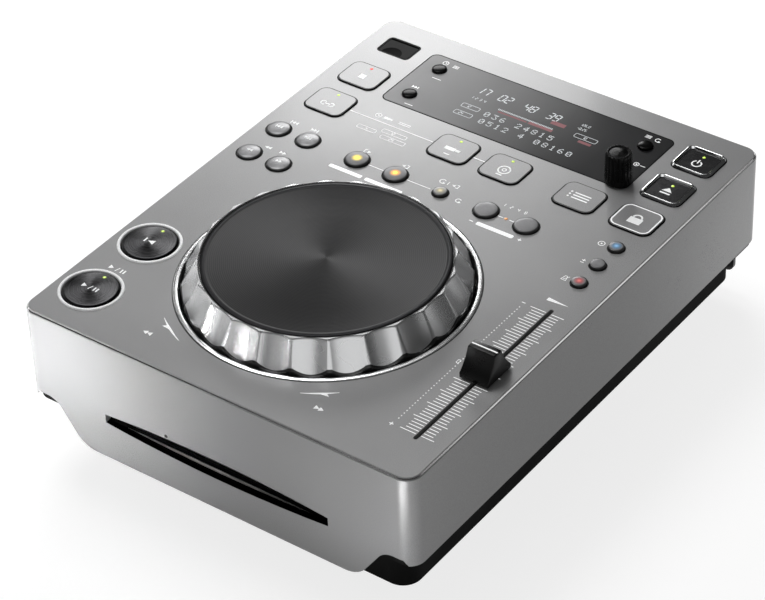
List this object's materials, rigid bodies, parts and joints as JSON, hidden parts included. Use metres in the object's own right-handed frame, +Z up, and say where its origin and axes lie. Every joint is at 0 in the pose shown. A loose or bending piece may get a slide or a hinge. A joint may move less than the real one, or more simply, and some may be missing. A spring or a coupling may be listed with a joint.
{
  "type": "tabletop disc player",
  "caption": "Tabletop slot-loading disc player with a pressable jog wheel, tempo slider, key panel, display, selector knob and lidded stick socket.",
  "frame": {"origin": "centre of the footprint at floor level, under the feet", "axes": "+X to the player's right, +Y to the back (sockets), +Z up; the front wall with the disc slot faces -Y"},
  "size_m": [0.218, 0.3, 0.1073],
  "materials": {
    "silver_paint": "satin silver paint",
    "black_base": "matt",
    "black_steel": "satin",
    "foot_rubber": "matt",
    "screw_steel": "blackened",
    "trim_chrome": "polished",
    "jog_chrome": "polished",
    "jog_black": "spun, black anodised",
    "display_pane": "glossy, smoked",
    "display_body": "matt",
    "black_plastic": "satin",
    "circuit_board": "satin",
    "part_grey": "satin",
    "socket_steel": "satin",
    "bracket_steel": "satin",
    "spindle_steel": "ground",
    "key_silver": "satin",
    "key_dome": "glossy, silvered",
    "key_black": "spun, glossy"
  },
  "bodies": {
    "case": {"top_case": "silver_paint", "base_tub": "black_base", "rear_plate": "black_steel", "feet": "foot_rubber", "screws": "screw_steel", "jog_trim": "trim_chrome", "key_rings": "trim_chrome", "window": "display_pane", "display_module": "display_body", "usb_well": "black_plastic", "usb_socket": "socket_steel", "key_board": "circuit_board", "panel_switches": "part_grey", "tempo_fader": "part_grey", "jog_bracket": "bracket_steel", "main_board": "circuit_board", "power_board": "circuit_board", "rear_sockets": "part_grey", "mains_inlet": "black_plastic", "drive_chassis": "bracket_steel", "drive_lid": "bracket_steel", "drive_dampers": "foot_rubber", "drive_motors": "part_grey"},
    "jog": {"jog_wheel": "jog_chrome", "jog_spindle": "spindle_steel"},
    "jog_top": {"jog_plate": "jog_black"},
    "tempo": {"tempo_cap": "black_plastic", "tempo_carriage": "part_grey"},
    "selector_stem": {"encoder_shaft": "part_grey"},
    "selector": {"selector_knob": "black_plastic"},
    "usb_lid": {"usb_cover": "black_plastic"},
    "turntable": {"disc_hub": "black_plastic"},
    "sled": {"pickup_sled": "part_grey"},
    "sled_screw": {"lead_screw": "spindle_steel"},
    "roller": {"loading_roller": "foot_rubber"},
    "track_back": {"track_back_key": "key_dome"},
    "track_forward": {"track_forward_key": "key_dome"},
    "search_back": {"search_back_key": "key_dome"},
    "search_forward": {"search_forward_key": "key_dome"},
    "loop_in": {"loop_in_key": "key_dome"},
    "loop_out": {"loop_out_key": "key_dome"},
    "reloop": {"reloop_key": "key_dome"},
    "beat_minus": {"beat_minus_key": "key_dome"},
    "beat_plus": {"beat_plus_key": "key_dome"},
    "vinyl": {"vinyl_key": "key_dome"},
    "tempo_range": {"tempo_range_key": "key_dome"},
    "master_tempo": {"master_tempo_key": "key_dome"},
    "time": {"time_key": "key_black"},
    "auto_cue": {"auto_cue_key": "key_black"},
    "back": {"back_key": "key_black"},
    "cue": {"cue_key": "key_black"},
    "play": {"play_key": "key_black"},
    "stop": {"stop_key": "key_silver"},
    "link": {"link_key": "key_silver"},
    "stick_source": {"stick_source_key": "key_silver"},
    "disc_source": {"disc_source_key": "key_silver"},
    "playlist": {"playlist_key": "key_silver"},
    "tempo_lock": {"tempo_lock_key": "key_silver"},
    "power": {"power_key": "key_black"},
    "eject": {"eject_key": "key_black"}
  },
  "joints": [
    {"name": "jog_spin", "type": "hinge", "parent": "case", "child": "jog", "pos_m": [-0.0027, -0.0588, 0.09], "axis": [0, 0, 1], "continuous": true},
    {"name": "jog_press", "type": "slide", "parent": "jog", "child": "jog_top", "axis": [0, 0, 1], "range_m": [-0.0005, 0], "stiffness_N_per_m": 1200, "springref_m": 0.0006},
    {"name": "tempo_slide", "type": "slide", "parent": "case", "child": "tempo", "axis": [0, 1, 0], "range_m": [-0.05, 0.05]},
    {"name": "selector_push", "type": "slide", "parent": "case", "child": "selector_stem", "axis": [0, 0, 1], "range_m": [-0.0005, 0], "stiffness_N_per_m": 300, "springref_m": 0.001},
    {"name": "selector_turn", "type": "hinge", "parent": "selector_stem", "child": "selector", "pos_m": [0.065, 0.0795, 0.09], "axis": [0, 0, 1], "continuous": true},
    {"name": "usb_lid_hinge", "type": "hinge", "parent": "case", "child": "usb_lid", "pos_m": [-0.0885, 0.1202, 0.0887], "axis": [-1, 0, 0], "range_deg": [0, 95]},
    {"name": "turntable_spin", "type": "hinge", "parent": "case", "child": "turntable", "pos_m": [0, -0.058, 0.0456], "axis": [0, 0, 1], "continuous": true},
    {"name": "sled_slide", "type": "slide", "parent": "case", "child": "sled", "axis": [0, 1, 0], "range_m": [0, 0.034]},
    {"name": "sled_screw_spin", "type": "hinge", "parent": "case", "child": "sled_screw", "pos_m": [-0.027, -0.028, 0.0326], "axis": [0, 1, 0], "continuous": true},
    {"name": "roller_spin", "type": "hinge", "parent": "case", "child": "roller", "pos_m": [0, -0.125, 0.0391], "axis": [1, 0, 0], "continuous": true},
    {"name": "track_back_press", "type": "slide", "parent": "case", "child": "track_back", "axis": [0, 0, 1], "range_m": [-0.0005, 0], "stiffness_N_per_m": 100, "springref_m": 0.001},
    {"name": "track_forward_press", "type": "slide", "parent": "case", "child": "track_forward", "axis": [0, 0, 1], "range_m": [-0.0005, 0], "stiffness_N_per_m": 100, "springref_m": 0.001},
    {"name": "search_back_press", "type": "slide", "parent": "case", "child": "search_back", "axis": [0, 0, 1], "range_m": [-0.0005, 0], "stiffness_N_per_m": 100, "springref_m": 0.001},
    {"name": "search_forward_press", "type": "slide", "parent": "case", "child": "search_forward", "axis": [0, 0, 1], "range_m": [-0.0005, 0], "stiffness_N_per_m": 100, "springref_m": 0.001},
    {"name": "loop_in_press", "type": "slide", "parent": "case", "child": "loop_in", "axis": [0, 0, 1], "range_m": [-0.0005, 0], "stiffness_N_per_m": 100, "springref_m": 0.001},
    {"name": "loop_out_press", "type": "slide", "parent": "case", "child": "loop_out", "axis": [0, 0, 1], "range_m": [-0.0005, 0], "stiffness_N_per_m": 100, "springref_m": 0.001},
    {"name": "reloop_press", "type": "slide", "parent": "case", "child": "reloop", "axis": [0, 0, 1], "range_m": [-0.0005, 0], "stiffness_N_per_m": 100, "springref_m": 0.001},
    {"name": "beat_minus_press", "type": "slide", "parent": "case", "child": "beat_minus", "axis": [0, 0, 1], "range_m": [-0.0005, 0], "stiffness_N_per_m": 100, "springref_m": 0.001},
    {"name": "beat_plus_press", "type": "slide", "parent": "case", "child": "beat_plus", "axis": [0, 0, 1], "range_m": [-0.0005, 0], "stiffness_N_per_m": 100, "springref_m": 0.001},
    {"name": "vinyl_press", "type": "slide", "parent": "case", "child": "vinyl", "axis": [0, 0, 1], "range_m": [-0.0005, 0], "stiffness_N_per_m": 100, "springref_m": 0.001},
    {"name": "tempo_range_press", "type": "slide", "parent": "case", "child": "tempo_range", "axis": [0, 0, 1], "range_m": [-0.0005, 0], "stiffness_N_per_m": 100, "springref_m": 0.001},
    {"name": "master_tempo_press", "type": "slide", "parent": "case", "child": "master_tempo", "axis": [0, 0, 1], "range_m": [-0.0005, 0], "stiffness_N_per_m": 100, "springref_m": 0.001},
    {"name": "time_press", "type": "slide", "parent": "case", "child": "time", "axis": [0, 0, 1], "range_m": [-0.0005, 0], "stiffness_N_per_m": 100, "springref_m": 0.001},
    {"name": "auto_cue_press", "type": "slide", "parent": "case", "child": "auto_cue", "axis": [0, 0, 1], "range_m": [-0.0005, 0], "stiffness_N_per_m": 100, "springref_m": 0.001},
    {"name": "back_press", "type": "slide", "parent": "case", "child": "back", "axis": [0, 0, 1], "range_m": [-0.0005, 0], "stiffness_N_per_m": 100, "springref_m": 0.001},
    {"name": "cue_press", "type": "slide", "parent": "case", "child": "cue", "axis": [0, 0, 1], "range_m": [-0.0005, 0], "stiffness_N_per_m": 200, "springref_m": 0.001},
    {"name": "play_press", "type": "slide", "parent": "case", "child": "play", "axis": [0, 0, 1], "range_m": [-0.0005, 0], "stiffness_N_per_m": 200, "springref_m": 0.001},
    {"name": "stop_press", "type": "slide", "parent": "case", "child": "stop", "axis": [0, 0, 1], "range_m": [-0.0005, 0], "stiffness_N_per_m": 100, "springref_m": 0.001},
    {"name": "link_press", "type": "slide", "parent": "case", "child": "link", "axis": [0, 0, 1], "range_m": [-0.0005, 0], "stiffness_N_per_m": 100, "springref_m": 0.001},
    {"name": "stick_source_press", "type": "slide", "parent": "case", "child": "stick_source", "axis": [0, 0, 1], "range_m": [-0.0005, 0], "stiffness_N_per_m": 100, "springref_m": 0.001},
    {"name": "disc_source_press", "type": "slide", "parent": "case", "child": "disc_source", "axis": [0, 0, 1], "range_m": [-0.0005, 0], "stiffness_N_per_m": 100, "springref_m": 0.001},
    {"name": "playlist_press", "type": "slide", "parent": "case", "child": "playlist", "axis": [0, 0, 1], "range_m": [-0.0005, 0], "stiffness_N_per_m": 100, "springref_m": 0.001},
    {"name": "tempo_lock_press", "type": "slide", "parent": "case", "child": "tempo_lock", "axis": [0, 0, 1], "range_m": [-0.0005, 0], "stiffness_N_per_m": 100, "springref_m": 0.001},
    {"name": "power_press", "type": "slide", "parent": "case", "child": "power", "axis": [0, 0, 1], "range_m": [-0.0005, 0], "stiffness_N_per_m": 100, "springref_m": 0.001},
    {"name": "eject_press", "type": "slide", "parent": "case", "child": "eject", "axis": [0, 0, 1], "range_m": [-0.0005, 0], "stiffness_N_per_m": 100, "springref_m": 0.001}
  ],
  "couplings": [
    {"joint": "sled_screw_spin", "follows": "sled_slide", "rad_per_m": 2094.4}
  ]
}
